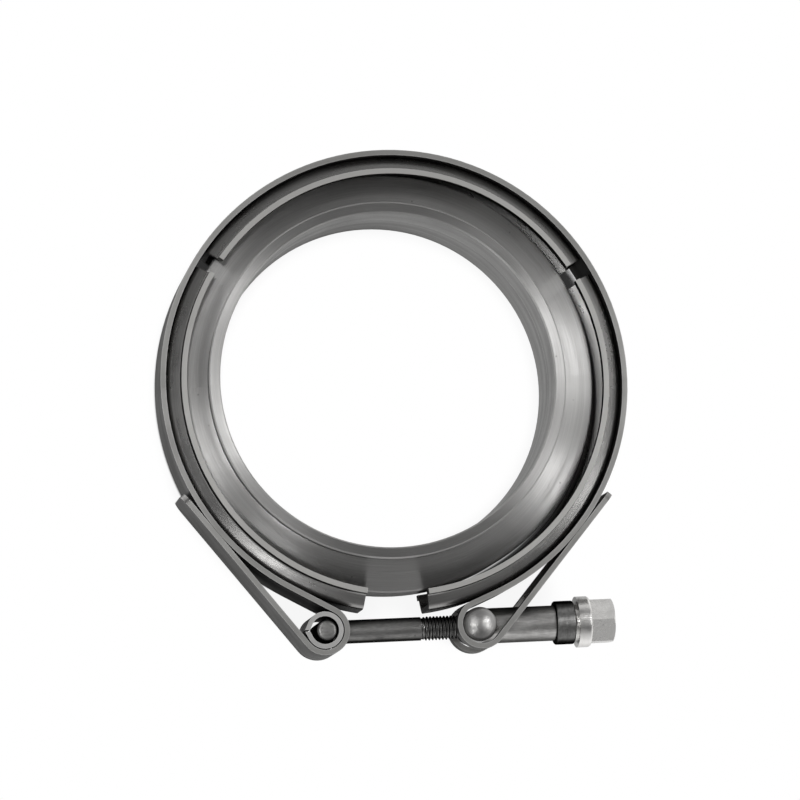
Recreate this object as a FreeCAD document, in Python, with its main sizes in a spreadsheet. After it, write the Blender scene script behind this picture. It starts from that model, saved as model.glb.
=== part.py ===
import FreeCAD, Part
import math
import os

import Sketcher

# T-bolt V-band clamp closed on a pair of weld flanges, as a parametric FreeCAD document.
#
# Row frame, millimetres: the origin is on the flanges' common axis at their mating faces, +Z runs
# along that axis, and the T-bolt lies parallel to +X on the -Y side of the ring.

document = FreeCAD.newDocument("VBandClamp")

# Driving dimensions: lengths in millimetres, angles in degrees.
SIZES = [
    # flanges
    ("bore_radius", 44.45),
    ("neck_wall", 3.05),
    ("rim_width", 8.3),
    ("rim_height", 5.75),
    ("flange_height", 12.0),
    ("flank_angle", 20.0),
    ("register_wall", 3.2),
    ("register_depth", 1.5),
    ("register_gap", 0.1),
    ("flange_edge", 0.4),
    # V segments
    ("seat_room", 3.6),
    ("seat_gap", 1.2),
    ("flank_gap", 0.2),
    ("segment_sheet", 1.4),
    ("leg_depth", 3.9),
    ("lip_length", 2.6),
    ("inner_bend", 0.6),
    ("opening_angle", 16.5),
    ("segment_space", 4.5),
    ("segment_lean", 2.8),
    ("weld_gap", 0.05),
    # strap
    ("band_thickness", 1.4),
    ("band_width", 17.5),
    ("tail_overhang", 13.0),
    ("tail_corner", 3.0),
    ("trunnion_spacing", 41.6),
    ("closure_lean", 1.5),
    ("loop_standoff", 0.3),
    ("loop_gap", 0.3),
    ("clamp_drop", 0.2),
    # T-bolt
    ("thread_radius", 3.175),
    ("shank_relief", 0.075),
    ("shank_length", 25.8),
    ("pin_relief", 0.275),
    ("pin_inset", 0.5),
    ("pin_edge", 0.9),
    ("bolt_inset", 0.4),
    ("bolt_chamfer", 0.9),
    ("bolt_clearance", 0.3),
    # trunnions
    ("pin_room", 0.75),
    ("pin_gap", 0.15),
    ("roll_wall", 1.2),
    ("roll_point", 0.5),
    ("roll_seam", 0.4),
    ("barrel_play", 0.35),
    ("barrel_dome", 2.2),
    # stack on the bolt
    ("spacer_wall", 1.2),
    ("spacer_end", 20.6),
    ("saddle_start", 1.6),
    ("saddle_gap", 0.05),
    ("slot_clearance", 0.4),
    ("tail_slot", 15.0),
    ("collar_step", 1.1),
    ("collar_length", 5.2),
    ("collar_edge", 0.5),
    ("face_gap", 0.05),
    ("nut_flats", 11.1),
    ("nut_fit", 0.06),
    ("nut_neck_step", 0.65),
    ("nut_neck_length", 0.7),
    ("nut_flange_step", 0.34),
    ("nut_flange_length", 3.55),
    ("nut_flange_edge", 0.8),
    ("nut_hexagon_length", 6.2),
]

# Dimensions that follow from the driving ones.
DERIVED = [
    # flanges
    ("neck_radius", "Sizes.bore_radius + Sizes.neck_wall"),
    ("rim_radius", "Derived.neck_radius + Sizes.rim_width"),
    ("flank_rise", "tan(Sizes.flank_angle)"),
    ("flank_top", "Sizes.rim_height + Sizes.rim_width * Derived.flank_rise"),
    ("spigot_radius", "Sizes.bore_radius + Sizes.register_wall"),
    ("socket_radius", "Derived.spigot_radius + Sizes.register_gap"),
    ("spigot_height", "Sizes.register_depth - Sizes.register_gap"),
    # V segments
    ("base_inner", "Derived.rim_radius + Sizes.seat_room"),
    ("base_outer", "Derived.base_inner + Sizes.segment_sheet"),
    ("clamp_shift", "Sizes.seat_room - Sizes.seat_gap"),
    ("rim_reach", "Derived.rim_radius + Derived.clamp_shift"),
    ("lip_outer", "Derived.base_outer - Sizes.leg_depth"),
    ("lip_inner", "Derived.lip_outer - Sizes.segment_sheet"),
    ("leg_inside", "Sizes.rim_height + Sizes.flank_gap"),
    ("leg_outside", "Derived.leg_inside + Sizes.segment_sheet / cos(Sizes.flank_angle)"),
    ("inner_corner", "Derived.leg_inside + (Derived.rim_reach - Derived.base_inner) * Derived.flank_rise"),
    ("inner_turn", "Derived.leg_inside + (Derived.rim_reach - Derived.lip_inner) * Derived.flank_rise"),
    ("outer_corner", "Derived.leg_outside + (Derived.rim_reach - Derived.base_outer) * Derived.flank_rise"),
    ("outer_turn", "Derived.leg_outside + (Derived.rim_reach - Derived.lip_outer) * Derived.flank_rise"),
    ("lip_end", "Derived.outer_turn + Sizes.lip_length"),
    ("outer_bend", "Sizes.inner_bend + Sizes.segment_sheet"),
    ("segment_angle", "(360 - Sizes.opening_angle - 2 * Sizes.segment_space) / 3"),
    ("segment_pitch", "Derived.segment_angle + Sizes.segment_space"),
    # T-bolt and trunnions
    ("shank_radius", "Sizes.thread_radius - Sizes.shank_relief"),
    ("pin_radius", "Sizes.thread_radius - Sizes.pin_relief"),
    ("bolt_hole", "Sizes.thread_radius + Sizes.bolt_clearance"),
    ("roll_inner", "Derived.pin_radius + Sizes.pin_room"),
    ("trunnion_radius", "Derived.roll_inner + Sizes.roll_wall"),
    ("roll_apex", "Derived.trunnion_radius + Sizes.roll_point"),
    ("roll_inner_apex", "Derived.roll_apex * Derived.roll_inner / Derived.trunnion_radius"),
    ("seam_half", "Sizes.roll_seam / 2"),
    ("seam_reach", "Derived.roll_apex + Sizes.roll_wall"),
    ("pin_pull", "Sizes.pin_room - Sizes.pin_gap"),
    ("pin_length", "Sizes.band_width - 2 * Sizes.pin_inset"),
    ("barrel_radius", "Derived.trunnion_radius - Sizes.barrel_play"),
    # strap
    ("band_inner", "Derived.base_outer + Sizes.weld_gap"),
    ("band_outer", "Derived.band_inner + Sizes.band_thickness"),
    ("band_mid", "Derived.band_inner + Sizes.band_thickness / 2"),
    ("band_half_width", "Sizes.band_width / 2"),
    ("lap_mid", "Derived.band_outer + Sizes.weld_gap + Sizes.band_thickness / 2"),
    ("loop_mid", "Derived.trunnion_radius + Sizes.loop_gap + Sizes.band_thickness / 2"),
    ("left_eye", "Sizes.trunnion_spacing / 2 + Sizes.closure_lean"),
    ("right_eye", "Sizes.trunnion_spacing / 2 - Sizes.closure_lean"),
    ("right_distance", "Derived.band_mid + Derived.loop_mid + Sizes.loop_standoff"),
    ("trunnion_drop", "sqrt(Derived.right_distance * Derived.right_distance"
                      " - Derived.right_eye * Derived.right_eye)"),
    ("left_distance", "sqrt(Derived.trunnion_drop * Derived.trunnion_drop"
                      " + Derived.left_eye * Derived.left_eye)"),
    ("lap_step", "Derived.lap_mid - Derived.loop_mid"),
    ("left_tail", "sqrt(Derived.left_distance * Derived.left_distance"
                  " - Derived.lap_step * Derived.lap_step) + Sizes.tail_overhang"),
    ("right_tail", "sqrt(Derived.right_distance * Derived.right_distance"
                   " - Derived.lap_step * Derived.lap_step) + Sizes.tail_overhang"),
    ("slot_reach", "Derived.loop_mid + Sizes.band_thickness"),
    ("slot_reach_half", "Derived.slot_reach / 2"),
    ("bolt_slot", "2 * (Derived.bolt_hole + Sizes.slot_clearance)"),
    # stack on the bolt
    ("spacer_radius", "Derived.bolt_hole + Sizes.spacer_wall"),
    ("spacer_slot", "2 * (Derived.spacer_radius + Sizes.slot_clearance)"),
    ("saddle_radius", "Derived.barrel_radius + Sizes.saddle_gap"),
    ("spacer_length", "Sizes.spacer_end + Sizes.barrel_play"),
    ("collar_radius", "Derived.spacer_radius + Sizes.collar_step"),
    ("collar_x", "Derived.clamp_shift + Derived.right_eye + Sizes.spacer_end + Sizes.face_gap"),
    ("nut_x", "Derived.collar_x + Sizes.collar_length + Sizes.face_gap"),
    ("nut_bore", "Sizes.thread_radius + Sizes.nut_fit"),
    ("nut_half_flats", "Sizes.nut_flats / 2"),
    ("nut_tip", "Derived.nut_half_flats / cos(30)"),
    ("nut_tip_half", "Derived.nut_tip / 2"),
    ("nut_clear", "Derived.nut_tip + Sizes.nut_flange_step"),
    ("nut_neck_radius", "Derived.nut_half_flats - Sizes.nut_neck_step"),
    ("flange_end", "Sizes.nut_neck_length + Sizes.nut_flange_length"),
    ("nut_length", "Derived.flange_end + Sizes.nut_hexagon_length"),
    ("nut_chamfer_start", "Derived.nut_length"
                          " - (Derived.nut_clear - Derived.nut_half_flats) * tan(30)"),
    ("bolt_x", "Derived.clamp_shift - Derived.left_eye + Derived.pin_pull"),
    ("bolt_length", "Derived.nut_x + Derived.nut_length - Sizes.bolt_inset - Derived.bolt_x"),
    ("thread_end", "Derived.bolt_length - Sizes.bolt_chamfer"),
    ("bolt_tip", "Sizes.thread_radius - Sizes.bolt_chamfer"),
]

sheet = document.addObject("Spreadsheet::Sheet", "Sizes")
for row, (alias, size) in enumerate(SIZES, start=1):
    sheet.set(f"A{row}", alias)
    sheet.set(f"B{row}", str(size))
    sheet.setAlias(f"B{row}", alias)
document.recompute()

derived = document.addObject("App::VarSet", "Derived")
for name, formula in DERIVED:
    derived.addProperty("App::PropertyFloat", name, "Derived")
    derived.setExpression(name, formula)
document.recompute()


def number(reference):
    """The present value of Sizes.name or Derived.name, or of 0."""
    if reference == "0":
        return 0.0
    if reference.startswith("-"):
        return -number(reference[1:])
    owner, name = reference.split(".")
    return float(getattr(sheet if owner == "Sizes" else derived, name))


def new_body(label, x="0", y="0", angle=None):
    """A body placed on the clamp's axis, or x and y away from it, and turned about +Z."""
    body = document.addObject("PartDesign::Body", label)
    body.Label = label
    body.setExpression("Placement.Base.x", x)
    body.setExpression("Placement.Base.y", y)
    if angle is not None:
        body.setExpression("Placement.Rotation.Angle", angle)
    return body


def origin_feature(body, role):
    return next(feature for feature in body.Origin.OriginFeatures if feature.Role == role)


def new_sketch(body, name, plane):
    sketch = body.newObject("Sketcher::SketchObject", name)
    sketch.AttachmentSupport = [(origin_feature(body, plane), "")]
    sketch.MapMode = "FlatFace"
    return sketch


def pin_point(sketch, edge, end, x, y):
    """Holds an edge's end at the named x and y, measured from the sketch's origin."""
    for kind, axis, reference in (("DistanceX", -2, x), ("DistanceY", -1, y)):
        if reference == "0":
            sketch.addConstraint(Sketcher.Constraint("PointOnObject", edge, end, axis))
            continue
        first, second = ((-1, 1), (edge, end))
        if reference.startswith("-"):
            first, second = second, first
        held = Sketcher.Constraint(kind, *first, *second, abs(number(reference)))
        index = sketch.addConstraint(held)
        sketch.setExpression(f"Constraints[{index}]", reference.lstrip("-"))


def outline(sketch, corners):
    """A closed outline of straight edges through the named corners."""
    points = [FreeCAD.Vector(number(x), number(y), 0) for x, y in corners]
    edges = [
        sketch.addGeometry(Part.LineSegment(start, end), False)
        for start, end in zip(points, points[1:] + points[:1])
    ]
    for edge, following in zip(edges, edges[1:] + edges[:1]):
        sketch.addConstraint(Sketcher.Constraint("Coincident", edge, 2, following, 1))
    for edge, (x, y) in zip(edges, corners):
        pin_point(sketch, edge, 1, x, y)
    return edges


def circle(sketch, radius, x="0", y="0"):
    centre = FreeCAD.Vector(number(x), number(y), 0)
    edge = sketch.addGeometry(Part.Circle(centre, FreeCAD.Vector(0, 0, 1), number(radius)), False)
    pin_point(sketch, edge, 3, x, y)
    index = sketch.addConstraint(Sketcher.Constraint("Radius", edge, number(radius)))
    sketch.setExpression(f"Constraints[{index}]", radius)
    return edge


def revolve(body, name, sketch, axis, angle=None):
    """Turns a profile about one of its sketch's own axes, all the way round or by a named angle."""
    turned = body.newObject("PartDesign::Revolution", name)
    turned.Profile = sketch
    turned.ReferenceAxis = (sketch, [axis])
    turned.Angle = 360
    if angle:
        turned.setExpression("Angle", angle)
        turned.Midplane = True
    return turned


def pad(body, name, sketch, length):
    padded = body.newObject("PartDesign::Pad", name)
    padded.Profile = sketch
    padded.SideType = "Symmetric"
    padded.setExpression("Length", length)
    return padded


def pocket(body, name, sketch, length=None):
    """A cut to both sides of its sketch, through everything unless a length is named."""
    cut = body.newObject("PartDesign::Pocket", name)
    cut.Profile = sketch
    cut.SideType = "Symmetric"
    if length:
        cut.setExpression("Length", length)
    else:
        cut.Type = "ThroughAll"
    return cut


def groove(body, name, sketch):
    """Takes away what a profile sweeps round the sketch's own horizontal axis."""
    cut = body.newObject("PartDesign::Groove", name)
    cut.Profile = sketch
    cut.ReferenceAxis = (sketch, ["H_Axis"])
    cut.Angle = 360
    return cut


def edges_where(shape, test):
    return [f"Edge{i}" for i, edge in enumerate(shape.Edges, start=1) if test(edge)]


def round_edges(body, kind, name, test, size, property_name):
    """Adds a fillet or chamfer of a named size to the tip's edges that pass the test."""
    document.recompute()
    base = body.Tip
    names = edges_where(base.Shape, test)
    if not names:
        raise RuntimeError(f"{body.Label}: no edges for {name}")
    dressed = body.newObject(f"PartDesign::{kind}", name)
    dressed.Base = (base, names)
    dressed.setExpression(property_name, size)
    return dressed


def is_ring(edge, radius, height, axis="z"):
    """Whether an edge is an arc or circle of this radius, this far along the axis."""
    curve = edge.Curve
    if not isinstance(curve, Part.Circle):
        return False
    close = 1e-4
    return (abs(curve.Radius - number(radius)) < close
            and abs(getattr(curve.Center, axis) - number(height)) < close)


# --- flanges -------------------------------------------------------------------------------------

def make_flange(label, side, mating):
    """One weld flange: a short neck, a conical flank and a rim, with its half of the register."""
    body = new_body(label)
    sketch = new_sketch(body, f"{label}_profile", "XZ_Plane")
    outline(sketch, mating + [
        ("Derived.rim_radius", "0"),
        ("Derived.rim_radius", side + "Sizes.rim_height"),
        ("Derived.neck_radius", side + "Derived.flank_top"),
        ("Derived.neck_radius", side + "Sizes.flange_height"),
        ("Sizes.bore_radius", side + "Sizes.flange_height"),
    ])
    revolve(body, f"{label}_turned", sketch, "V_Axis")

    def outer_edges(edge):
        return any(is_ring(edge, radius, side + height) for radius, height in (
            ("Derived.rim_radius", "Sizes.rim_height"),
            ("Derived.neck_radius", "Sizes.flange_height"),
            ("Sizes.bore_radius", "Sizes.flange_height"),
        ))

    round_edges(body, "Chamfer", f"{label}_edges", outer_edges, "Sizes.flange_edge", "Size")


make_flange("front_flange", "", [
    ("Sizes.bore_radius", "Sizes.register_depth"),
    ("Derived.socket_radius", "Sizes.register_depth"),
    ("Derived.socket_radius", "0"),
])
make_flange("back_flange", "-", [
    ("Sizes.bore_radius", "Derived.spigot_height"),
    ("Derived.spigot_radius", "Derived.spigot_height"),
    ("Derived.spigot_radius", "0"),
])


# --- V segments ----------------------------------------------------------------------------------

CLAMP = ("Derived.clamp_shift", "-Sizes.clamp_drop")


def make_segment(label, angle):
    """One V retainer: a flat base, two legs that slope with the flanges' flanks, and two lips."""
    body = new_body(label, *CLAMP, angle)
    sketch = new_sketch(body, f"{label}_profile", "XZ_Plane")
    half = [
        ("Derived.base_outer", "Derived.outer_corner"),
        ("Derived.lip_outer", "Derived.outer_turn"),
        ("Derived.lip_outer", "Derived.lip_end"),
        ("Derived.lip_inner", "Derived.lip_end"),
        ("Derived.lip_inner", "Derived.inner_turn"),
        ("Derived.base_inner", "Derived.inner_corner"),
    ]
    outline(sketch, half + [(x, "-" + y) for x, y in reversed(half)])
    revolve(body, f"{label}_bent", sketch, "V_Axis", "Derived.segment_angle")

    def bends(points):
        return lambda edge: any(is_ring(edge, x, side + y) for x, y in points for side in ("", "-"))

    round_edges(body, "Fillet", f"{label}_outer_bends", bends([half[0], half[4]]),
                "Derived.outer_bend", "Radius")
    round_edges(body, "Fillet", f"{label}_inner_bends", bends([half[1], half[5]]),
                "Sizes.inner_bend", "Radius")


for label, turns in (("top_v_segment", "0"), ("left_v_segment", "1"), ("right_v_segment", "-1")):
    make_segment(label, f"90 - Sizes.segment_lean + ({turns}) * Derived.segment_pitch")


# --- strap ---------------------------------------------------------------------------------------

def polar(radius, angle, centre=FreeCAD.Vector(0, 0, 0)):
    return centre + FreeCAD.Vector(radius * math.cos(angle), radius * math.sin(angle), 0)


def strap_path(body, side, sign):
    """Half the strap's middle line, from the top of the ring to the tail's end, for either side."""
    path = new_sketch(body, f"{side}_path", "XY_Plane")
    if sign > 0:
        path.AttachmentOffset = FreeCAD.Placement(
            FreeCAD.Vector(0, 0, 0), FreeCAD.Rotation(FreeCAD.Vector(0, 1, 0), 180))
    eye_x, distance, length = (f"Derived.{side}_{part}" for part in ("eye", "distance", "tail"))
    ring, loop = number("Derived.band_mid"), number("Derived.loop_mid")
    eye = FreeCAD.Vector(-number(eye_x), -number("Derived.trunnion_drop"), 0)
    bearing = math.atan2(eye.y, eye.x) % (2 * math.pi)
    leave = bearing - math.acos((ring + loop) / number(distance))
    back = bearing - math.acos(number("Derived.lap_step") / number(distance))
    centre, normal = FreeCAD.Vector(0, 0, 0), FreeCAD.Vector(0, 0, 1)

    arc = path.addGeometry(Part.ArcOfCircle(
        Part.Circle(centre, normal, ring), math.pi / 2, leave), False)
    run = path.addGeometry(Part.LineSegment(
        polar(ring, leave), polar(loop, leave - math.pi, eye)), False)
    wrap = path.addGeometry(Part.ArcOfCircle(
        Part.Circle(eye, normal, loop), back, leave + math.pi), False)
    tail_start = polar(loop, back, eye)
    tail_end = polar(number(length), back - math.pi / 2, tail_start)
    tail = path.addGeometry(Part.LineSegment(tail_start, tail_end), False)
    guide = path.addGeometry(Part.Circle(centre, normal, number("Derived.lap_mid")), True)

    path.addConstraint(Sketcher.Constraint("Coincident", arc, 3, -1, 1))
    path.addConstraint(Sketcher.Constraint("PointOnObject", arc, 1, -2))
    path.addConstraint(Sketcher.Constraint("Coincident", guide, 3, -1, 1))
    pin_point(path, wrap, 3, "-" + eye_x, "-Derived.trunnion_drop")
    path.addConstraint(Sketcher.Constraint("Tangent", arc, 2, run, 1))
    path.addConstraint(Sketcher.Constraint("Tangent", run, 2, wrap, 2))
    path.addConstraint(Sketcher.Constraint("Tangent", wrap, 1, tail, 1))
    path.addConstraint(Sketcher.Constraint("Tangent", tail, guide))
    for edge, kind, size in (
        (arc, "Radius", "Derived.band_mid"),
        (wrap, "Radius", "Derived.loop_mid"),
        (guide, "Radius", "Derived.lap_mid"),
        (tail, "Distance", length),
    ):
        index = path.addConstraint(Sketcher.Constraint(kind, edge, number(size)))
        path.setExpression(f"Constraints[{index}]", size)
    return path, FreeCAD.Vector(-sign * tail_end.x, tail_end.y, 0)


def make_strap():
    """One strip: round the segments, off on a tangent, round a trunnion and back as a tail."""
    body = new_body("outer_band", *CLAMP)
    section = new_sketch(body, "strap_section", "YZ_Plane")
    outline(section, [
        ("Derived.band_inner", "-Derived.band_half_width"),
        ("Derived.band_outer", "-Derived.band_half_width"),
        ("Derived.band_outer", "Derived.band_half_width"),
        ("Derived.band_inner", "Derived.band_half_width"),
    ])
    tail_ends = []
    for side, sign in (("left", -1), ("right", 1)):
        path, tail_end = strap_path(body, side, sign)
        tail_ends.append(tail_end)
        document.recompute()
        strip = body.newObject("PartDesign::AdditivePipe", f"{side}_strip")
        strip.Profile = section
        strip.Spine = (path, [f"Edge{i + 1}" for i in range(4)])
        document.recompute()

    corner = number("Derived.band_half_width")

    def tail_corners(edge):
        middle = edge.CenterOfMass
        height, middle.z = abs(middle.z), 0
        return (isinstance(edge.Curve, Part.Line) and abs(height - corner) < 1e-4
                and any((middle - end).Length < number("Sizes.band_thickness") for end in tail_ends))

    round_edges(body, "Fillet", "tail_corners", tail_corners, "Sizes.tail_corner", "Radius")
    return body


strap = make_strap()


def slot_sketch(body, name, eye_x, corners, turn=None):
    """An outline on the strap's own plane, centred on one trunnion and turned where asked."""
    sketch = new_sketch(body, f"{name}_outline", "XY_Plane")
    sketch.setExpression("AttachmentOffset.Base.x", eye_x)
    sketch.setExpression("AttachmentOffset.Base.y", "-Derived.trunnion_drop")
    if turn:
        sketch.setExpression("AttachmentOffset.Rotation.Angle", turn)
    outline(sketch, corners)
    return sketch


def cut_slots(body):
    """Openings for the T-bolt in both loops; the right one runs on along the tail."""
    reach, half = "Derived.slot_reach", "Derived.slot_reach_half"
    left = slot_sketch(body, "left_slot", "-Derived.left_eye", [
        ("0", "0"), (half, "-" + reach), (reach, "-" + reach), (reach, reach)])
    pocket(body, "left_slot", left, "Derived.bolt_slot")
    right = slot_sketch(body, "right_slot", "Derived.right_eye", [
        ("0", "0"), ("-" + reach, reach), ("-" + reach, "-" + reach), (reach, "-" + reach)])
    pocket(body, "right_slot", right, "Derived.spacer_slot")
    tail_turn = ("atan(Derived.right_eye / Derived.trunnion_drop)"
                 " + acos(Derived.lap_step / Derived.right_distance)")
    along = slot_sketch(body, "tail_slot", "Derived.right_eye", [
        ("-" + half, "-" + reach), ("Sizes.tail_slot", "-" + reach),
        ("Sizes.tail_slot", "-" + half), ("-" + half, "-" + half)], tail_turn)
    pocket(body, "tail_slot", along, "Derived.spacer_slot")


cut_slots(strap)


# --- trunnions -----------------------------------------------------------------------------------

EYE_Y = "-Sizes.clamp_drop - Derived.trunnion_drop"
LEFT_EYE = ("Derived.clamp_shift - Derived.left_eye", EYE_Y)
RIGHT_EYE = ("Derived.clamp_shift + Derived.right_eye - Sizes.barrel_play", EYE_Y)


def teardrop(sketch, radius, apex):
    """A round nose with two straight flanks that meet at a point on the -X side."""
    size, tip = number(radius), FreeCAD.Vector(-number(apex), 0, 0)
    lean = math.acos(size / number(apex))
    upper, lower = math.pi - lean, math.pi + lean
    centre, normal = FreeCAD.Vector(0, 0, 0), FreeCAD.Vector(0, 0, 1)
    nose = sketch.addGeometry(Part.ArcOfCircle(
        Part.Circle(centre, normal, size), lower - 2 * math.pi, upper), False)
    top = sketch.addGeometry(Part.LineSegment(polar(size, upper), tip), False)
    bottom = sketch.addGeometry(Part.LineSegment(tip, polar(size, lower)), False)
    sketch.addConstraint(Sketcher.Constraint("Coincident", nose, 3, -1, 1))
    sketch.addConstraint(Sketcher.Constraint("Tangent", nose, 2, top, 1))
    sketch.addConstraint(Sketcher.Constraint("Tangent", bottom, 2, nose, 1))
    sketch.addConstraint(Sketcher.Constraint("Coincident", top, 2, bottom, 1))
    pin_point(sketch, top, 2, "-" + apex, "0")
    index = sketch.addConstraint(Sketcher.Constraint("Radius", nose, size))
    sketch.setExpression(f"Constraints[{index}]", radius)


def make_roll():
    """The left trunnion: a sheet rolled to a teardrop, with a seam at its point."""
    body = new_body("rolled_trunnion", *LEFT_EYE)
    outer = new_sketch(body, "roll_outside", "XY_Plane")
    teardrop(outer, "Derived.trunnion_radius", "Derived.roll_apex")
    pad(body, "roll", outer, "Sizes.band_width")
    inner = new_sketch(body, "roll_inside", "XY_Plane")
    teardrop(inner, "Derived.roll_inner", "Derived.roll_inner_apex")
    pocket(body, "roll_hollow", inner)
    seam = new_sketch(body, "roll_seam_outline", "XY_Plane")
    outline(seam, [
        ("0", "-Derived.seam_half"), ("0", "Derived.seam_half"),
        ("-Derived.seam_reach", "Derived.seam_half"), ("-Derived.seam_reach", "-Derived.seam_half")])
    pocket(body, "roll_seam", seam)
    window = new_sketch(body, "roll_window_outline", "XY_Plane")
    outline(window, [
        ("0", "-Derived.bolt_hole"), ("Derived.seam_reach", "-Derived.bolt_hole"),
        ("Derived.seam_reach", "Derived.bolt_hole"), ("0", "Derived.bolt_hole")])
    pocket(body, "roll_window", window, "Derived.bolt_slot")


def make_barrel():
    """The right trunnion: a solid cross-bored barrel with domed ends."""
    body = new_body("barrel_trunnion", *RIGHT_EYE)
    side = new_sketch(body, "barrel_outline", "XY_Plane")
    circle(side, "Derived.barrel_radius")
    pad(body, "barrel", side, "Sizes.band_width")
    round_edges(body, "Fillet", "barrel_domes",
                lambda edge: isinstance(edge.Curve, Part.Circle), "Sizes.barrel_dome", "Radius")
    bore = new_sketch(body, "barrel_bore_outline", "YZ_Plane")
    circle(bore, "Derived.bolt_hole")
    pocket(body, "barrel_bore", bore)


make_roll()
make_barrel()


# --- T-bolt and the stack on it ------------------------------------------------------------------

def make_bolt():
    """A cross pin, a plain shank and the thread's own blank in one forging."""
    body = new_body("t_bolt", "Derived.bolt_x", EYE_Y)
    end = new_sketch(body, "pin_outline", "XY_Plane")
    circle(end, "Derived.pin_radius")
    pad(body, "pin", end, "Derived.pin_length")
    round_edges(body, "Fillet", "pin_ends",
                lambda edge: isinstance(edge.Curve, Part.Circle), "Sizes.pin_edge", "Radius")
    profile = new_sketch(body, "shank_profile", "XY_Plane")
    outline(profile, [
        ("0", "0"),
        ("Derived.bolt_length", "0"),
        ("Derived.bolt_length", "Derived.bolt_tip"),
        ("Derived.thread_end", "Sizes.thread_radius"),
        ("Sizes.shank_length", "Sizes.thread_radius"),
        ("Sizes.shank_length", "Derived.shank_radius"),
        ("0", "Derived.shank_radius"),
    ])
    revolve(body, "shank", profile, "H_Axis")


def make_spacer():
    """A tube whose near end is a saddle on the barrel trunnion."""
    body = new_body("spacer_sleeve", *RIGHT_EYE)
    profile = new_sketch(body, "spacer_profile", "XY_Plane")
    outline(profile, [
        ("Sizes.saddle_start", "Derived.bolt_hole"), ("Derived.spacer_length", "Derived.bolt_hole"),
        ("Derived.spacer_length", "Derived.spacer_radius"), ("Sizes.saddle_start", "Derived.spacer_radius")])
    revolve(body, "spacer", profile, "H_Axis")
    saddle = new_sketch(body, "saddle_outline", "XY_Plane")
    circle(saddle, "Derived.saddle_radius")
    pocket(body, "saddle", saddle)


def make_collar():
    body = new_body("thrust_collar", "Derived.collar_x", EYE_Y)
    profile = new_sketch(body, "collar_profile", "XY_Plane")
    outline(profile, [
        ("0", "Derived.nut_bore"), ("Sizes.collar_length", "Derived.nut_bore"),
        ("Sizes.collar_length", "Derived.collar_radius"), ("0", "Derived.collar_radius")])
    revolve(body, "collar", profile, "H_Axis")

    def rim(edge):
        return any(is_ring(edge, "Derived.collar_radius", x, "x") for x in ("0", "Sizes.collar_length"))

    round_edges(body, "Fillet", "collar_edges", rim, "Sizes.collar_edge", "Radius")


def make_nut():
    """A hexagon nut with its own flange and a short neck under it."""
    body = new_body("flange_nut", "Derived.nut_x", EYE_Y)
    flange = new_sketch(body, "nut_flange_profile", "XY_Plane")
    outline(flange, [
        ("0", "0"), ("Derived.flange_end", "0"),
        ("Derived.flange_end", "Derived.nut_clear"),
        ("Sizes.nut_neck_length", "Derived.nut_clear"),
        ("Sizes.nut_neck_length", "Derived.nut_neck_radius"), ("0", "Derived.nut_neck_radius")])
    revolve(body, "nut_flange", flange, "H_Axis")

    def rim(edge):
        return is_ring(edge, "Derived.nut_clear", "Derived.flange_end", "x")

    round_edges(body, "Fillet", "nut_flange_edge", rim, "Sizes.nut_flange_edge", "Radius")
    hexagon = new_sketch(body, "hexagon_outline", "YZ_Plane")
    hexagon.setExpression("AttachmentOffset.Base.z", "Sizes.nut_neck_length")
    flat, tip, low = "Derived.nut_half_flats", "Derived.nut_tip", "Derived.nut_tip_half"
    outline(hexagon, [
        ("0", tip), (flat, low), (flat, "-" + low), ("0", "-" + tip),
        ("-" + flat, "-" + low), ("-" + flat, low)])
    prism = body.newObject("PartDesign::Pad", "hexagon")
    prism.Profile = hexagon
    prism.setExpression("Length", "Sizes.nut_flange_length + Sizes.nut_hexagon_length")
    corner = new_sketch(body, "nut_chamfer_outline", "XY_Plane")
    outline(corner, [
        ("Derived.nut_length", flat), ("Derived.nut_length", "Derived.nut_clear"),
        ("Derived.nut_chamfer_start", "Derived.nut_clear")])
    groove(body, "nut_chamfer", corner)
    bore = new_sketch(body, "nut_bore_outline", "YZ_Plane")
    circle(bore, "Derived.nut_bore")
    pocket(body, "nut_bore", bore)


make_bolt()
make_spacer()
make_collar()
make_nut()


# --- checks and files ----------------------------------------------------------------------------

document.recompute()
for item in document.Objects:
    if "Invalid" in item.State or "Error" in item.State:
        raise RuntimeError(f"{item.Label} failed: {item.State}")

bodies = [item for item in document.Objects if item.TypeId == "PartDesign::Body"]
for item in bodies:
    if item.Shape.isNull() or not item.Shape.isValid():
        raise RuntimeError(f"{item.Label} has no valid shape")
os.makedirs("parts", exist_ok=True)
for item in bodies:
    item.Shape.exportStep(f"parts/{item.Label}.step")
    print(item.Label, len(item.Shape.Solids), round(item.Shape.Volume, 1), item.Shape.BoundBox)
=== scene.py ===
import bmesh
import bpy
import math
from mathutils import Matrix, Vector


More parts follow.
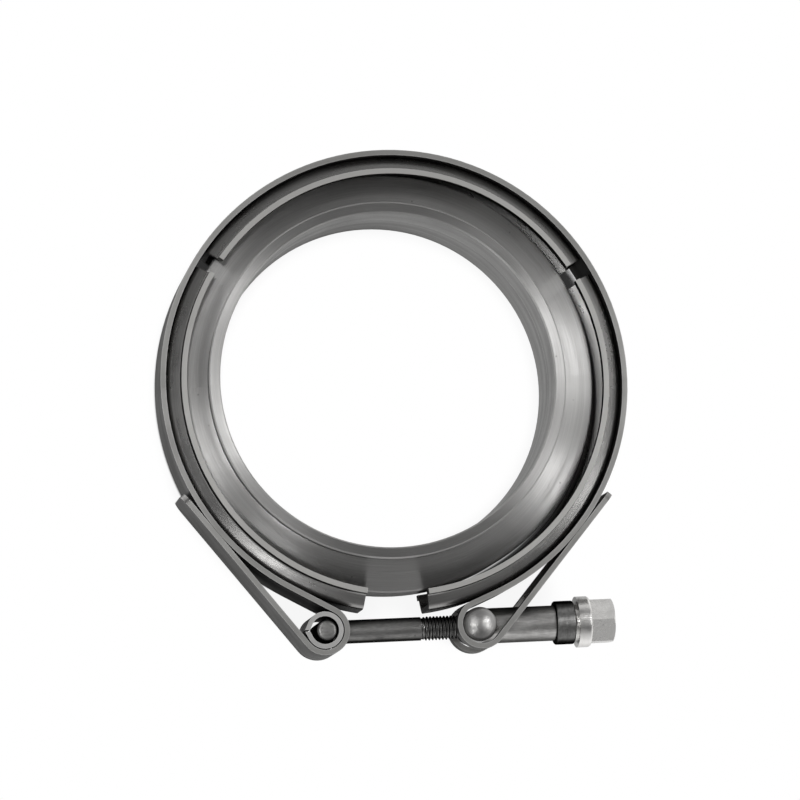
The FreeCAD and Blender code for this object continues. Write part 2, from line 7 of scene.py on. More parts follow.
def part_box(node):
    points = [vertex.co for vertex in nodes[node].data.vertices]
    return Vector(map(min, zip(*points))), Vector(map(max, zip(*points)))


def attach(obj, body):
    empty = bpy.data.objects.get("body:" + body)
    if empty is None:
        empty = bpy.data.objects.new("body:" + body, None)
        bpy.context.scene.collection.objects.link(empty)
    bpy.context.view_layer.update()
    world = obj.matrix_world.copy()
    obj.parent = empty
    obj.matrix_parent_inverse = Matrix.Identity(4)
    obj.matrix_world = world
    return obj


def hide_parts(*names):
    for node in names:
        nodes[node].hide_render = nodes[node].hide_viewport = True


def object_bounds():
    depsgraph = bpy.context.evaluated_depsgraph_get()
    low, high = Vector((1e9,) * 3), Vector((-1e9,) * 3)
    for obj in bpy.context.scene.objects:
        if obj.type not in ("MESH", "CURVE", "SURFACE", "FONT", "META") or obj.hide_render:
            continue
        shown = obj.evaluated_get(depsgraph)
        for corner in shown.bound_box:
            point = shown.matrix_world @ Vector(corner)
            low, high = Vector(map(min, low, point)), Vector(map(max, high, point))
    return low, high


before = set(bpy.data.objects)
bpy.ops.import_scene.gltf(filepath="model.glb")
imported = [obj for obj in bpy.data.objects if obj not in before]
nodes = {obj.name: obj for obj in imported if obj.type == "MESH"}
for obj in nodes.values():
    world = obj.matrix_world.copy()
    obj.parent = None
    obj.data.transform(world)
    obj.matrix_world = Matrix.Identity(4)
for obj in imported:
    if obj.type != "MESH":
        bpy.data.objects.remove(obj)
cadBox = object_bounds()
print("frame loaded")


def middle(node):
    low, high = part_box(node)
    return (low + high) / 2


boreAxis = Vector((0, 0, 0))
strapAxis = Vector((sum(corner.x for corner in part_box("outer_band")) / 2, 0, 0))
boltAxis = middle("flange_nut")
leftEye, rightEye = middle("rolled_trunnion"), middle("barrel_trunnion")

# the T-bolt, a cross pin and a shank with a cut thread
boltShape = {
    "pitch": 0.000907,          # 28 threads to the inch
    "crestRadius": 0.003175,
    "rootRadius": 0.0027,
    "crestFlat": 0.14,          # parts of a pitch
    "rootFlat": 0.24,
    "shoulder": 0.00035,        # chamfer between the shank and the thread
    "rise": 0.5,                # how steeply the thread's crests come up after it
    "shankRadius": 0.0031,
    "shankLength": 0.0258,      # from the pin's axis
    "pinRadius": 0.0029,
    "pinRound": 0.0011,
    "pinRings": 6,              # rings round each end of the pin
    "point": 0.0009,            # the chamfer at the free end
    "sides": 48,
    "joinWithin": 1e-7,
    "smoothTo": 40,             # degrees between faces that shade as one
}


def ring(mesh, place, radius, sides):
    return [mesh.verts.new(place(radius, math.tau * i / sides)) for i in range(sides)]


def lathe(mesh, profile, place, sides):
    # profile is (height, radius) pairs, closed at both ends
    loops = [ring(mesh, lambda r, turn, h=height: place(h, r, turn), radius, sides)
             for height, radius in profile]
    for lower, upper in zip(loops, loops[1:]):
        for i in range(sides):
            mesh.faces.new((lower[i], lower[(i + 1) % sides], upper[(i + 1) % sides], upper[i]))
    mesh.faces.new(loops[0][::-1])
    mesh.faces.new(loops[-1])


def threadRadius(part, shape):
    # part runs from 0 to 1 over one pitch: crest, flank, root, flank
    crest, root = shape["crestFlat"], shape["rootFlat"]
    flank = (1 - crest - root) / 2
    if part < crest:
        depth = 0
    elif part < crest + flank:
        depth = (part - crest) / flank
    elif part < crest + flank + root:
        depth = 1
    else:
        depth = (1 - part) / flank
    return shape["crestRadius"] + (shape["rootRadius"] - shape["crestRadius"]) * depth


def cutThread(mesh, shape, start, end, place):
    sides, pitch = shape["sides"], shape["pitch"]
    crest, root = shape["crestFlat"], shape["rootFlat"]
    flank = (1 - crest - root) / 2
    parts = [0, crest, crest + flank / 2, crest + flank, crest + flank + root, 1 - flank / 2]
    turns = math.ceil((end - start) / pitch) + 2      # one to spare at each end, pressed flat
    tip = shape["crestRadius"] - shape["point"]
    rows = []
    for step in range(sides * turns + 1):
        row = []
        for part in parts:
            along = min(max(start + pitch * (step / sides + part - 1), start), end)
            gone = along - start
            opening = max(shape["shankRadius"] - gone,
                          shape["shankRadius"] - shape["shoulder"] + (gone - shape["shoulder"]) * shape["rise"])
            radius = min(threadRadius(part, shape), opening, tip + end - along)
            if gone == 0:
                radius = shape["shankRadius"]
            row.append(mesh.verts.new(place(along, radius, math.tau * step / sides)))
        rows.append(row)
    for step in range(sides * turns):
        near, far = list(rows[step]), list(rows[step + 1])
        if step + 1 + sides < len(rows):
            near.append(rows[step + sides][0])
            far.append(rows[step + 1 + sides][0])
        for p in range(len(near) - 1):
            mesh.faces.new((near[p], far[p], far[p + 1], near[p + 1]))


def addMesh(name, mesh, body):
    bmesh.ops.recalc_face_normals(mesh, faces=mesh.faces)
    data = bpy.data.meshes.new(name)
    mesh.to_mesh(data)
    mesh.free()
    piece = bpy.data.objects.new(name, data)
    bpy.context.scene.collection.objects.link(piece)
    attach(piece, body)
    return piece


def shapeWith(piece, tool, operation, smoothTo, node):
    # joins or cuts the piece with the tool for good, then it takes the CAD node's place
    step = piece.modifiers.new("shape", "BOOLEAN")
    step.object, step.operation, step.solver = tool, operation, "EXACT"
    bpy.context.view_layer.update()
    shaped = bpy.data.meshes.new_from_object(piece.evaluated_get(bpy.context.evaluated_depsgraph_get()))
    piece.modifiers.clear()
    piece.data = shaped
    bpy.data.objects.remove(tool)
    shaped.shade_smooth()
    shaped.set_sharp_from_angle(angle=math.radians(smoothTo))
    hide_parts(node)
    return piece


def makeBolt(shape):
    low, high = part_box("t_bolt")
    pinX, sides = low.x + shape["pinRadius"], shape["sides"]

    def alongBolt(along, radius, turn):
        return Vector((along, boltAxis.y + radius * math.cos(turn), boltAxis.z + radius * math.sin(turn)))

    def alongPin(height, radius, turn):
        return Vector((pinX + radius * math.cos(turn), boltAxis.y + radius * math.sin(turn), height))

    shoulder = pinX + shape["shankLength"]
    shank = bmesh.new()
    cutThread(shank, shape, shoulder, high.x, alongBolt)
    bmesh.ops.remove_doubles(shank, verts=shank.verts, dist=shape["joinWithin"])
    bmesh.ops.dissolve_degenerate(shank, dist=shape["joinWithin"], edges=shank.edges)
    rims = {"root": [], "tip": []}
    for edge in shank.edges:
        if edge.is_boundary:
            rims["tip" if edge.verts[0].co.x > (shoulder + high.x) / 2 else "root"].append(edge)
    bmesh.ops.holes_fill(shank, edges=rims["tip"], sides=0)
    grown = bmesh.ops.extrude_edge_only(shank, edges=rims["root"])["geom"]
    bmesh.ops.translate(
        shank, verts=[v for v in grown if isinstance(v, bmesh.types.BMVert)], vec=(pinX - shoulder, 0, 0))
    bmesh.ops.holes_fill(shank, edges=[e for e in shank.edges if e.is_boundary], sides=0)
    bolt = addMesh("threaded_t_bolt", shank, "clamp")

    half, curve, rings = high.z, shape["pinRound"], shape["pinRings"]
    bend = [(curve * (1 - math.cos(a)), curve * (1 - math.sin(a)))
            for a in (math.pi / 2 * i / rings for i in range(rings + 1))]
    # from the flat end outwards, then the mirror of it
    profile = [(-half + inset, shape["pinRadius"] - rest) for inset, rest in bend]
    profile += [(-height, radius) for height, radius in reversed(profile)]
    pin = bmesh.new()
    lathe(pin, profile, alongPin, sides)
    crossPin = addMesh("cross_pin", pin, "clamp")
    return shapeWith(bolt, crossPin, "UNION", shape["smoothTo"], "t_bolt")


threadedBolt = makeBolt(boltShape)
print("T-bolt threaded")

# the barrel trunnion, with domed ends and a hole for the bolt
barrelShape = {
    "dome": 0.0013,             # height of a dome
    "domeWidth": 0.985,         # parts of the barrel's width
    "corner": 0.0002,           # chamfer round the dome's foot
    "hole": 0.003475,           # radius
    "rings": 14,
    "sides": 64,
    "smoothTo": 35,             # degrees between faces that shade as one
}


def makeBarrel(shape):
    low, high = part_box("barrel_trunnion")
    centre, radius = middle("barrel_trunnion"), (high.x - low.x) / 2
    half, dome, rings = high.z, shape["dome"], shape["rings"]
    ball = (radius ** 2 + dome ** 2) / (2 * dome)       # the sphere that a dome is cut from
    edge = math.asin(radius / ball)
    bend = [edge * (i + 0.5) / rings for i in range(rings)]
    top = [(half - dome - shape["corner"], radius), (half - dome, radius - shape["corner"])]
    top += [(half - ball * (1 - math.cos(a)), ball * math.sin(a) * shape["domeWidth"]) for a in reversed(bend)]
    profile = [(-height, r) for height, r in reversed(top)] + top

    def upright(height, r, turn):
        return Vector((centre.x + r * math.cos(turn), centre.y + r * math.sin(turn), height))

    def through(along, r, turn):
        return Vector((centre.x + along, boltAxis.y + r * math.cos(turn), boltAxis.z + r * math.sin(turn)))

    body, bore = bmesh.new(), bmesh.new()
    lathe(body, profile, upright, shape["sides"])
    lathe(bore, [(-2 * radius, shape["hole"]), (2 * radius, shape["hole"])], through, shape["sides"])
    barrel = addMesh("domed_barrel", body, "clamp")
    return shapeWith(barrel, addMesh("bolt_bore", bore, "clamp"), "DIFFERENCE",
                     shape["smoothTo"], "barrel_trunnion")


domedBarrel = makeBarrel(barrelShape)
print("barrel domed")


# helpers for nodes, then the effects that the steels share
def newGroup(name, inputs, outputs):
    tree = bpy.data.node_groups.new(name, "ShaderNodeTree")
    for label, kind, value in inputs:
        socket = tree.interface.new_socket(label, in_out="INPUT", socket_type=f"NodeSocket{kind}")
        if value is not None:
            socket.default_value = value
    for label, kind in outputs:
        tree.interface.new_socket(label, in_out="OUTPUT", socket_type=f"NodeSocket{kind}")
    return tree, tree.nodes.new("NodeGroupInput").outputs, tree.nodes.new("NodeGroupOutput").inputs


def plug(tree, socket, value):
    if isinstance(value, bpy.types.NodeSocket):
        tree.links.new(value, socket)
    else:
        socket.default_value = value


def addNode(tree, kind, options=None, **values):
    node = tree.nodes.new(f"ShaderNode{kind}")
    for option, value in (options or {}).items():
        setattr(node, option, value)
    for socket, value in values.items():
        plug(tree, node.inputs[socket.replace("_", " ")], value)
    return node


def maths(tree, operation, *values, clamp=False):
    node = addNode(tree, "Math", {"operation": operation, "use_clamp": clamp})
    for socket, value in zip(node.inputs, values):
        plug(tree, socket, value)
    return node.outputs[0]


def vectors(tree, operation, *values, output=0):
    node = addNode(tree, "VectorMath", {"operation": operation})
    for socket, value in zip(node.inputs, values):
        plug(tree, socket, value)
    return node.outputs[output]


def between(tree, value, low, high, toLow=0.0, toHigh=1.0, smooth=True):
    node = addNode(tree, "MapRange", {"interpolation_type": "SMOOTHSTEP" if smooth else "LINEAR"},
                   Value=value, From_Min=low, From_Max=high, To_Min=toLow, To_Max=toHigh)
    return node.outputs["Result"]


def blendColours(tree, factor, first, second, mode="MIX"):
    node = addNode(tree, "Mix", {"data_type": "RGBA", "blend_type": mode})
    plug(tree, node.inputs[0], factor)
    plug(tree, node.inputs[6], first)
    plug(tree, node.inputs[7], second)
    return node.outputs[2]


def makeRoundCoordinates():
    # where a point lies round an axis: height along it, distance from it and turn about it
    tree, given, gives = newGroup("roundCoordinates", [
        ("Position", "Vector", None), ("Centre", "Vector", (0, 0, 0)), ("Axis", "Vector", (0, 0, 1)),
        ("Side", "Vector", (1, 0, 0))], [("Along", "Float"), ("Out", "Float"), ("Around", "Float")])
    arm = vectors(tree, "SUBTRACT", given["Position"], given["Centre"])
    along = vectors(tree, "DOT_PRODUCT", arm, given["Axis"], output=1)
    first = vectors(tree, "DOT_PRODUCT", arm, given["Side"], output=1)
    third = vectors(tree, "CROSS_PRODUCT", given["Axis"], given["Side"])
    second = vectors(tree, "DOT_PRODUCT", arm, third, output=1)
    out = maths(tree, "SQRT", maths(tree, "ADD", maths(tree, "MULTIPLY", first, first),
                                    maths(tree, "MULTIPLY", second, second)))
    plug(tree, gives["Along"], along)
    plug(tree, gives["Out"], out)
    plug(tree, gives["Around"], maths(tree, "ARCTAN2", second, first))
    return tree


toolLineLook = {
    # name: (fineness, stretch, detail, level where it begins, level where it is full)
    "marks": {
        "Lines": (1.0, 4.0, 2.0, 0.3, 0.7),
        "Scores": (0.45, 7.0, 1.0, 0.62, 0.74),
        "Bands": (0.07, 1.5, 3.0, 0.32, 0.68),
    },
    "broken": 0.6,
}


def makeToolLines(look):
    # fine parallel lines left by a tool or a roll, with a few deeper scores and a slow drift
    tree, given, gives = newGroup("toolLines", [
        ("First", "Float", 0), ("Second", "Float", 0), ("Lengthwise", "Float", 0),
        ("Lines per mm", "Float", 6), ("Drift", "Float", 0.5)], [(mark, "Float") for mark in look["marks"]])
    pace = maths(tree, "MULTIPLY", given["Lines per mm"], 1000.0)       # lines per metre
    for mark, (fineness, stretch, detail, begins, full) in look["marks"].items():
        scaled = maths(tree, "MULTIPLY", pace, fineness)
        drift = maths(tree, "MULTIPLY", given["Drift"], stretch)
        point = addNode(tree, "CombineXYZ", None,
                        X=maths(tree, "MULTIPLY", given["First"], scaled),
                        Y=maths(tree, "MULTIPLY", given["Second"], scaled),
                        Z=maths(tree, "MULTIPLY", given["Lengthwise"], drift))
        noise = addNode(tree, "TexNoise", None, Vector=point.outputs[0], Scale=1.0, Detail=detail,
                        Roughness=look["broken"])
        plug(tree, gives[mark], between(tree, noise.outputs["Fac"], begins, full))
    return tree


handlingLook = {
    "cloud": {"Detail": 5.0, "Roughness": 0.62, "Distortion": 0.6},
    "film": (0.35, 0.68),
    "nickScale": 420.0,
    "nickRare": (0.9, 0.93),        # only cells above this level hold a nick
    "nickEdge": (0.05, 0.16),
    "grit": {"Scale": 3800.0, "Detail": 2.0, "Roughness": 0.7},
}


def makeHandling(look):
    # cloudy film, small nicks and a fine grit from use
    tree, given, gives = newGroup("handlingMarks", [("Position", "Vector", None), ("Cloud size", "Float", 0.02)],
                                  [("Film", "Float"), ("Nicks", "Float"), ("Grit", "Float")])
    scale = maths(tree, "DIVIDE", 1.0, given["Cloud size"])
    cloud = addNode(tree, "TexNoise", None, Vector=given["Position"], Scale=scale, **look["cloud"])
    plug(tree, gives["Film"], between(tree, cloud.outputs["Fac"], *look["film"]))
    cells = addNode(tree, "TexVoronoi", None, Vector=given["Position"], Scale=look["nickScale"])
    chance = addNode(tree, "SeparateColor", None, Color=cells.outputs["Color"]).outputs[0]
    nick = between(tree, cells.outputs["Distance"], *look["nickEdge"], 1.0, 0.0)
    plug(tree, gives["Nicks"], maths(tree, "MULTIPLY", between(tree, chance, *look["nickRare"]), nick))
    grit = addNode(tree, "TexNoise", None, Vector=given["Position"], **look["grit"])
    plug(tree, gives["Grit"], grit.outputs["Fac"])
    return tree


wearLook = {
    "samples": 4,
    "corner": (0.80, 0.985),        # cosines between the softened normal and the true one
    "patch": {"Scale": 900.0, "Detail": 2.0},
    "patchFrom": 0.25,
    "patchTo": 0.6,
    "leastWear": 0.45,
}


def makeEdgeWear(look):
    # bright corners: where a bevelled normal departs from the true one, broken up by noise
    tree, given, gives = newGroup("edgeWear", [("Position", "Vector", None), ("Width", "Float", 0.0004)],
                                  [("Wear", "Float")])
    soft = addNode(tree, "Bevel", {"samples": look["samples"]}, Radius=given["Width"])
    sharp = addNode(tree, "NewGeometry").outputs["True Normal"]
    facing = vectors(tree, "DOT_PRODUCT", soft.outputs[0], sharp, output=1)
    corner = between(tree, facing, *look["corner"], 1.0, 0.0)
    patch = addNode(tree, "TexNoise", None, Vector=given["Position"], **look["patch"]).outputs["Fac"]
    worn = between(tree, patch, look["patchFrom"], look["patchTo"], look["leastWear"], 1.0)
    plug(tree, gives["Wear"], maths(tree, "MULTIPLY", corner, worn))
    return tree


groups = {
    "round": makeRoundCoordinates(),
    "lines": makeToolLines(toolLineLook),
    "handling": makeHandling(handlingLook),
    "wear": makeEdgeWear(wearLook),
}
print("shader groups built")


def useGroup(tree, name, **values):
    node = tree.nodes.new("ShaderNodeGroup")
    node.node_tree = groups[name]
    for socket, value in values.items():
        plug(tree, node.inputs[socket.replace("_", " ")], value)
    return node.outputs


# what the steels share; each one below then says where it differs
plainSteel = {
    "axis": (0, 0, 1),              # the metal was turned, rolled or drawn round or along this line
    "side": (1, 0, 0),
    "centre": boreAxis,
    "run": "around",                # the way the lines lie
    "arcRadius": 0.004,             # makes a length of a turn, where the lines run along
    "sideTo": 0.15,                 # painted shade: faces turned away from the Z axis darken between these levels
    "sideFrom": 0.6,
    "cutEdge": 0.0,                 # share of the cut colour on faces square to the bore's axis
    "cutFrom": 0.965,
    "cutTo": 0.985,
    "cutColour": (0.5, 0.5, 0.5),
    "cutRoughness": 0.28,
    "rimTint": (1.0, 1.0, 1.0),
    "lineShare": 0.45,              # of the darkening, to the fine lines and to the bands
    "bandShare": 0.55,
    "darkening": 0.8,
    "nickShare": 0.5,
    "nickColour": (0.12, 0.12, 0.12),
    "wornBase": 0.4,                # worn corners: this much white plus this much of the colour
    "wornGain": 0.55,
    "wornRoughness": -0.05,
    "filmRoughness": 0.06,
    "scoreDepth": -1.2,             # against the depth of a line
    "nickDepth": -1.5,
    "gritHeight": 0.35,
    "bump": 0.35,
    "lineDepth": 0.00002,
}
flangeSteel = {
    **plainSteel, "colour": (0.60, 0.595, 0.585), "dark": (0.42, 0.415, 0.41), "paintedSideShade": 0.45,
    "roughness": (0.30, 0.40), "anisotropy": 0.95, "lines": 5.0, "drift": 0.5, "lineDepth": 0.00003,
    "cloud": 0.022, "film": 0.16, "edge": 0.5, "edgeWidth": 0.00035,
}
segmentSteel = {
    **plainSteel, "colour": (0.48, 0.475, 0.465), "dark": (0.30, 0.295, 0.29), "paintedSideShade": 0.15,
    "centre": strapAxis, "roughness": (0.20, 0.30), "anisotropy": 0.2, "lines": 3.0, "drift": 0.8,
    "lineDepth": 0.0000015, "cloud": 0.010, "film": 0.22, "edge": 0.12, "edgeWidth": 0.0005,
    "cutEdge": 1.0, "cutColour": (0.50, 0.495, 0.48), "rimTint": (0.5, 0.5, 0.5),
}
strapSteel = {
    **plainSteel, "colour": (0.46, 0.455, 0.445), "dark": (0.27, 0.265, 0.26), "paintedSideShade": 0.30,
    "centre": strapAxis, "roughness": (0.30, 0.42), "anisotropy": 0.5, "lines": 2.4, "drift": 1.2,
    "cloud": 0.016, "film": 0.25, "edge": 0.8, "edgeWidth": 0.0005,
    "cutEdge": 0.8, "cutColour": (0.40, 0.397, 0.385), "rimTint": (0.6, 0.6, 0.6),
}
trunnionSteel = {
    **plainSteel, "colour": (0.58, 0.575, 0.565), "dark": (0.34, 0.335, 0.33), "paintedSideShade": 1.0,
    "centre": rightEye, "roughness": (0.27, 0.36), "anisotropy": 0.0, "lines": 3.0, "drift": 0.1,
    "cloud": 0.004, "film": 0.25, "edge": 0.7, "edgeWidth": 0.0003,
}
rollSteel = {
    **trunnionSteel, "centre": leftEye, "dark": (0.28, 0.275, 0.27), "paintedSideShade": 0.5,
    "cutEdge": 0.8, "cutColour": (0.50, 0.497, 0.49),
}
boltSteel = {
    **plainSteel, "colour": (0.47, 0.465, 0.455), "dark": (0.17, 0.168, 0.165),
    "axis": (1, 0, 0), "side": (0, 1, 0), "centre": boltAxis, "run": "along",
    "sideTo": 0.45, "sideFrom": 0.95, "paintedSideShade": 0.12, "rimTint": (0.12, 0.12, 0.12),
    "roughness": (0.28, 0.42), "anisotropy": 0.3, "lines": 3.2, "drift": 120.0,
    "cloud": 0.005, "film": 0.3, "edge": 0.6, "edgeWidth": 0.0002,
}
sleeveSteel = {
    **boltSteel, "colour": (0.88, 0.87, 0.85), "dark": (0.32, 0.315, 0.31),
    "sideTo": 0.35, "paintedSideShade": 0.22, "rimTint": (0.3, 0.3, 0.3),
    "roughness": (0.26, 0.40), "anisotropy": 0.4, "lines": 2.6, "drift": 90.0,
}
collarSteel = {
    **boltSteel, "colour": (0.44, 0.437, 0.43), "dark": (0.14, 0.138, 0.136), "run": "around",
    "anisotropy": 0.5, "lines": 1.6, "drift": 1.0, "lineDepth": 0.00005,
}
nutSteel = {
    **boltSteel, "colour": (0.90, 0.89, 0.87), "dark": (0.74, 0.73, 0.715), "run": "around",
    "sideTo": 0.15, "sideFrom": 0.6, "paintedSideShade": 0.8, "rimTint": (1.0, 1.0, 1.0),
    "roughness": (0.20, 0.34), "anisotropy": 0.0, "lines": 2.0, "drift": 1.0,
    "film": 0.18, "edge": 0.8, "edgeWidth": 0.0003,
}


def makeSteel(name, look):
    material = bpy.data.materials.new(name)
    material.use_nodes = True
    tree = material.node_tree
    shader = tree.nodes["Principled BSDF"]

    def scale(value, factor):
        return maths(tree, "MULTIPLY", value, factor)

    def add(first, second):
        return maths(tree, "ADD", first, second)

    position = addNode(tree, "TexCoord").outputs["Object"]
    normal = addNode(tree, "TexCoord").outputs["Normal"]
    place = useGroup(tree, "round", Position=position, Centre=look["centre"], Axis=look["axis"], Side=look["side"])
    around = look["run"] == "around"
    marks = useGroup(tree, "lines",
                     First=place["Along"] if around else scale(place["Around"], look["arcRadius"]),
                     Second=place["Out"], Lengthwise=place["Around"] if around else place["Along"],
                     Lines_per_mm=look["lines"], Drift=look["drift"])
    wear = useGroup(tree, "wear", Position=position, Width=look["edgeWidth"])["Wear"]
    use = useGroup(tree, "handling", Position=position, Cloud_size=look["cloud"])

    # the colour: lines and bands, film, nicks, painted shade on the sides, cut edges, worn corners
    dark = (*look["dark"], 1)
    lined = add(scale(marks["Lines"], look["lineShare"]), scale(marks["Bands"], look["bandShare"]))
    colour = blendColours(tree, scale(lined, look["darkening"]), (*look["colour"], 1), dark)
    colour = blendColours(tree, scale(use["Film"], look["film"]), colour, dark)
    colour = blendColours(tree, scale(use["Nicks"], look["nickShare"]), colour, (*look["nickColour"], 1))
    # painted shade: the colour darkens on faces turned away from the object's Z axis
    upright = maths(tree, "ABSOLUTE", vectors(tree, "DOT_PRODUCT", normal, (0, 0, 1), output=1))
    shade = between(tree, upright, look["sideTo"], look["sideFrom"], look["paintedSideShade"], 1.0)
    grey = addNode(tree, "CombineColor", None, Red=shade, Green=shade, Blue=shade).outputs[0]
    colour = blendColours(tree, 1.0, colour, grey, mode="MULTIPLY")
    cut = scale(between(tree, upright, look["cutFrom"], look["cutTo"]), look["cutEdge"])
    colour = blendColours(tree, cut, colour, (*look["cutColour"], 1))
    worn = tuple(look["wornBase"] + look["wornGain"] * part for part in look["colour"])
    colour = blendColours(tree, scale(wear, look["edge"]), colour, (*worn, 1))
    plug(tree, shader.inputs["Base Color"], colour)

    rough = between(tree, marks["Bands"], 0.0, 1.0, *look["roughness"], smooth=False)
    rough = add(rough, scale(use["Film"], look["filmRoughness"]))
    rough = add(rough, scale(cut, look["cutRoughness"]))
    rough = add(rough, scale(wear, look["wornRoughness"]))
    plug(tree, shader.inputs["Roughness"], rough)
    shader.inputs["Metallic"].default_value = 1.0
    shader.inputs["Specular Tint"].default_value = (*look["rimTint"], 1)
    shader.inputs["Anisotropic"].default_value = look["anisotropy"]
    if look["anisotropy"] > 0:
        # the gloss spreads across the grooves
        arm = vectors(tree, "SUBTRACT", position, look["centre"])
        grooves = vectors(tree, "CROSS_PRODUCT", look["axis"], arm) if around else look["axis"]
        grain = vectors(tree, "CROSS_PRODUCT", grooves, normal)
        turned = addNode(tree, "VectorTransform",
                         {"vector_type": "VECTOR", "convert_from": "OBJECT", "convert_to": "WORLD"}, Vector=grain)
        plug(tree, shader.inputs["Tangent"], turned.outputs[0])

    height = add(marks["Lines"], scale(marks["Scores"], look["scoreDepth"]))
    height = add(height, scale(use["Nicks"], look["nickDepth"]))
    height = add(height, scale(use["Grit"], look["gritHeight"]))
    bump = addNode(tree, "Bump", None, Strength=look["bump"], Distance=look["lineDepth"], Height=height)
    plug(tree, shader.inputs["Normal"], bump.outputs[0])
    return material


finishes = {
    "front_flange": makeSteel("turned_flange_steel", flangeSteel),
    "outer_band": makeSteel("rolled_strap_steel", strapSteel),
    "top_v_segment": makeSteel("pressed_segment_steel", segmentSteel),
    "domed_barrel": makeSteel("barrel_steel", trunnionSteel),
    "rolled_trunnion": makeSteel("rolled_sheet_steel", rollSteel),
    "threaded_t_bolt": makeSteel("dark_bolt_steel", boltSteel),
    "spacer_sleeve": makeSteel("drawn_sleeve_steel", sleeveSteel),
    "thrust_collar": makeSteel("turned_collar_steel", collarSteel),
    "flange_nut": makeSteel("bright_nut_steel", nutSteel),
}
finishes["back_flange"] = finishes["front_flange"]
finishes["left_v_segment"] = finishes["right_v_segment"] = finishes["top_v_segment"]
for piece in [*nodes.values(), threadedBolt, domedBarrel]:
    if piece.name in finishes:
        piece.data.materials.clear()
        piece.data.materials.append(finishes[piece.name])
print("steels applied")

# the floor
floorLook = {
    "size": 6.0, "colour": (0.86, 0.86, 0.86), "roughness": 0.9, "gloss": 0.1, "drop": 0.0002,
    "shadowReach": 0.014, "shadowSamples": 32,      # the close shadow, seen directly
    "shadowFrom": 0.42, "shadowTo": 0.62, "openShadow": 0.08, "ringShadow": 0.97,
    "underRing": (0.0540, 0.0555, 0.0615, 0.0625),  # distances between which the ring stands over the floor
    "closingGap": (-0.0535, -0.050),                # the ring's shadow ends here, ahead of the gap
    "mirroredReach": 0.08, "mirroredSamples": 8,    # the floor as the metal mirrors it
    "mirroredFrom": 0.05, "mirroredLevel": 0.05,
    "boreFade": (0.040, 0.045), "boreLevel": 0.9,
}


def makeFloor(look):
    mesh = bmesh.new()
    bmesh.ops.create_grid(mesh, x_segments=1, y_segments=1, size=look["size"] / 2)
    data = bpy.data.meshes.new("floor")
    mesh.to_mesh(data)
    mesh.free()
    floor = bpy.data.objects.new("floor", data)
    floor.location.z = cadBox[0].z - look["drop"]
    bpy.context.scene.collection.objects.link(floor)
    material = bpy.data.materials.new("pale_floor")
    material.use_nodes = True
    tree = material.node_tree
    shader = tree.nodes["Principled BSDF"]
    shader.inputs["Base Color"].default_value = (*look["colour"], 1)
    shader.inputs["Roughness"].default_value = look["roughness"]
    shader.inputs["Specular IOR Level"].default_value = look["gloss"]
    # seen directly it is white, with a painted shadow of nearness only: faint, but deep in the ring under the
    # strap as the metal mirrors it, it has painted shade near the object and is painted bright inside the bore
    path = addNode(tree, "LightPath").outputs
    near, wide = (addNode(tree, "AmbientOcclusion", {"samples": look[f"{use}Samples"]},
                          Distance=look[f"{use}Reach"]).outputs["AO"] for use in ("shadow", "mirrored"))
    spot = addNode(tree, "NewGeometry").outputs["Position"]
    out = useGroup(tree, "round", Position=spot, Centre=strapAxis)["Out"]
    across = addNode(tree, "SeparateXYZ", None, Vector=spot).outputs["Y"]
    innerStart, innerEnd, outerStart, outerEnd = look["underRing"]
    under = maths(tree, "MULTIPLY", between(tree, out, innerStart, innerEnd),
                  between(tree, out, outerStart, outerEnd, 1.0, 0.0))
    under = maths(tree, "MULTIPLY", under, between(tree, across, *look["closingGap"]))
    depth = between(tree, under, 0.0, 1.0, look["openShadow"], look["ringShadow"])
    dark = maths(tree, "MULTIPLY", between(tree, near, look["shadowFrom"], look["shadowTo"], 1.0, 0.0), depth)
    direct = maths(tree, "SUBTRACT", 1.0, dark)
    mirrored = between(tree, wide, look["mirroredFrom"], 1.0, look["mirroredLevel"], 1.0)
    inBore = between(tree, out, *look["boreFade"], 1.0, 0.0)
    mirrored = maths(tree, "MAXIMUM", mirrored, maths(tree, "MULTIPLY", inBore, look["boreLevel"]))
    level = addNode(tree, "Mix", {"data_type": "FLOAT"})
    plug(tree, level.inputs[0], path["Is Camera Ray"])
    plug(tree, level.inputs[2], mirrored)
    plug(tree, level.inputs[3], direct)
    white = addNode(tree, "Emission", None, Color=(1, 1, 1, 1), Strength=level.outputs[0])
    seen = maths(tree, "ADD", path["Is Camera Ray"], maths(
        tree, "ADD", path["Is Glossy Ray"], path["Is Transmission Ray"]), clamp=True)
    surface = addNode(tree, "MixShader")
    plug(tree, surface.inputs[0], seen)
    plug(tree, surface.inputs[1], shader.outputs[0])
    plug(tree, surface.inputs[2], white.outputs[0])
    plug(tree, tree.nodes["Material Output"].inputs["Surface"], surface.outputs[0])
    data.materials.append(material)
    return floor


makeFloor(floorLook)
print("floor laid")

# soft light: bright walls, a dark ceiling and five cards
studio = {
    "zenith": 0.10, "horizon": 0.7,
    "fadeFrom": 0.35, "fadeTo": 0.75,    # sines of the elevations between which the walls darken
    # name: (bearing, elevation, distance, width, height, brightness), degrees and metres
    "lamps": {
        "right_upper": (18, 56, 0.9, 0.11, 0.24, 12.0),
        "right_lower": (346, 52, 0.9, 0.13, 0.26, 6.5),
        "left_upper": (180, 75, 0.9, 0.09, 0.18, 17.0),
        "left_lower": (122, 69, 0.9, 0.10, 0.16, 8.0),
        "front_card": (234, 60, 0.9, 0.16, 0.12, 6.0),
    },
}


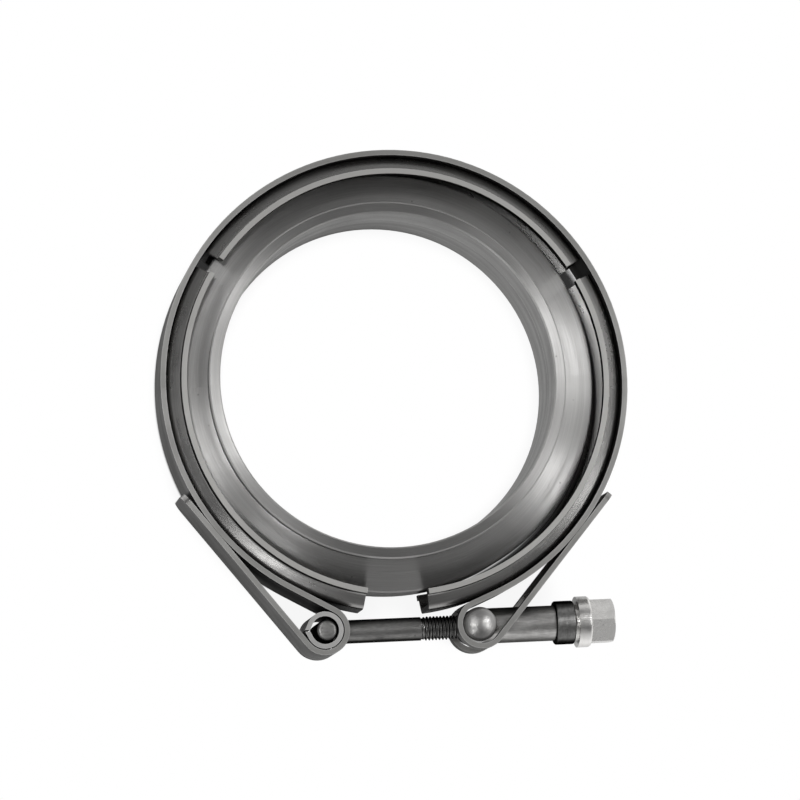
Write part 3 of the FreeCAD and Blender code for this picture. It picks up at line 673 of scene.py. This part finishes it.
def makeStudio(look):
    world = bpy.data.worlds.new("studio")
    bpy.context.scene.world = world
    world.use_nodes = True
    tree = world.node_tree
    background = tree.nodes["Background"]
    towards = addNode(tree, "TexCoord").outputs["Generated"]
    rise = addNode(tree, "SeparateXYZ", None, Vector=towards).outputs["Z"]
    level = between(tree, rise, look["fadeFrom"], look["fadeTo"], look["horizon"], look["zenith"])
    plug(tree, background.inputs["Strength"], level)
    background.inputs["Color"].default_value = (1, 1, 1, 1)
    for name, (bearing, elevation, distance, width, height, brightness) in look["lamps"].items():
        turn, lift = math.radians(bearing), math.radians(elevation)
        towards = Vector((math.cos(turn) * math.cos(lift), math.sin(turn) * math.cos(lift), math.sin(lift)))
        lamp = bpy.data.objects.new(name, bpy.data.lights.new(name, "AREA"))
        lamp.data.shape = "RECTANGLE"
        lamp.data.size, lamp.data.size_y = width, height
        lamp.data.energy = brightness * math.pi * width * height
        lamp.location = towards * distance
        lamp.rotation_euler = (-towards).to_track_quat("-Z", "Y").to_euler()
        bpy.context.scene.collection.objects.link(lamp)


makeStudio(studio)

viewpoint = {
    "tilt": 12.0,        # degrees between the bore's axis and the line of sight
    "bearing": 222.0,    # degrees, the way the camera leans off the axis
    "roll": 3.2,         # degrees that the T-bolt's free end is raised
    "distance": 1.05,    # metres from the front flange's face
    "framed": 0.21025,   # metres across the frame at that face
    "right": 0.00294,    # metres from the bore's axis to the frame's middle
    "up": -0.00555,
    "sensor": 36.0,      # millimetres
    "farthest": 20.0,
}


def makeCamera(choice):
    tilt, bearing = math.radians(choice["tilt"]), math.radians(choice["bearing"])
    sight = Vector((math.sin(tilt) * math.cos(bearing), math.sin(tilt) * math.sin(bearing), math.cos(tilt)))
    right = Vector((0, 1, 0)).cross(sight).normalized()
    up = sight.cross(right)
    turn = Matrix.Rotation(math.radians(-choice["roll"]), 3, sight)
    right, up = turn @ right, turn @ up
    face = Vector((0, 0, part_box("front_flange")[1].z))
    spot = face + right * choice["right"] + up * choice["up"] + sight * choice["distance"]
    camera = bpy.data.objects.new("camera", bpy.data.cameras.new("camera"))
    bpy.context.scene.collection.objects.link(camera)
    camera.matrix_world = Matrix.Translation(spot) @ Matrix((right, up, sight)).transposed().to_4x4()
    camera.data.sensor_width = choice["sensor"]
    camera.data.lens = camera.data.sensor_width * choice["distance"] / choice["framed"]
    camera.data.clip_end = choice["farthest"]
    bpy.context.scene.camera = camera


makeCamera(viewpoint)
bpy.context.scene.view_settings.view_transform = "Standard"
print("studio and camera set")
